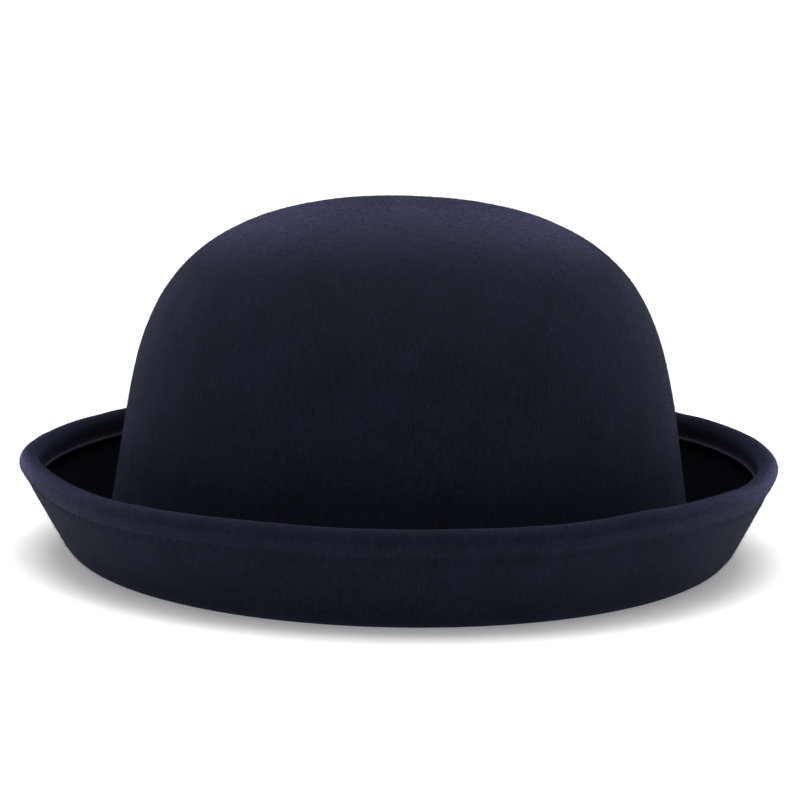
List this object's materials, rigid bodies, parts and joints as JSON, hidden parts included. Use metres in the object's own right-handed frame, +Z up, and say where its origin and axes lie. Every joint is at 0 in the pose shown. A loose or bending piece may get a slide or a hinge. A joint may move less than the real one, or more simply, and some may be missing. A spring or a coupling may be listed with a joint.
{
  "type": "bowler hat",
  "caption": "Round-crowned bowler hat in blocked wool felt, with a wired brim rolled up all round and a ribbon sweatband inside.",
  "frame": {"origin": "on the table, under the centre of the crown's head oval", "axes": "+Z up, front of the hat towards -Y, +X to the viewer's right of a hat seen from the front"},
  "size_m": [0.2294, 0.2614, 0.1078],
  "materials": {
    "wool_felt": "brushed blocked wool felt, dark navy, matt with a soft sheen",
    "spring_steel": "drawn steel wire",
    "cotton_wrap": "wound cotton",
    "brass": "crimped brass sleeve",
    "hem_thread": "polyester sewing thread, navy",
    "grosgrain": "ribbed rayon and cotton ribbon, near-black navy",
    "band_thread": "polyester sewing thread, near-black",
    "woven_label": "blank damask tab",
    "satin_label": "blank satin strip"
  },
  "bodies": {
    "root": {"felt_body": "wool_felt", "brim_wire_core": "spring_steel", "brim_wire_wrap": "cotton_wrap", "wire_joiner": "brass", "hem_needle_stitches": "hem_thread", "hem_bobbin_stitches": "hem_thread", "sweatband": "grosgrain", "sweatband_needle_stitches": "band_thread", "sweatband_bobbin_stitches": "hem_thread", "sweatband_lap_stitches": "band_thread", "size_label": "woven_label", "care_label": "satin_label", "label_stitches": "band_thread"}
  },
  "joints": []
}
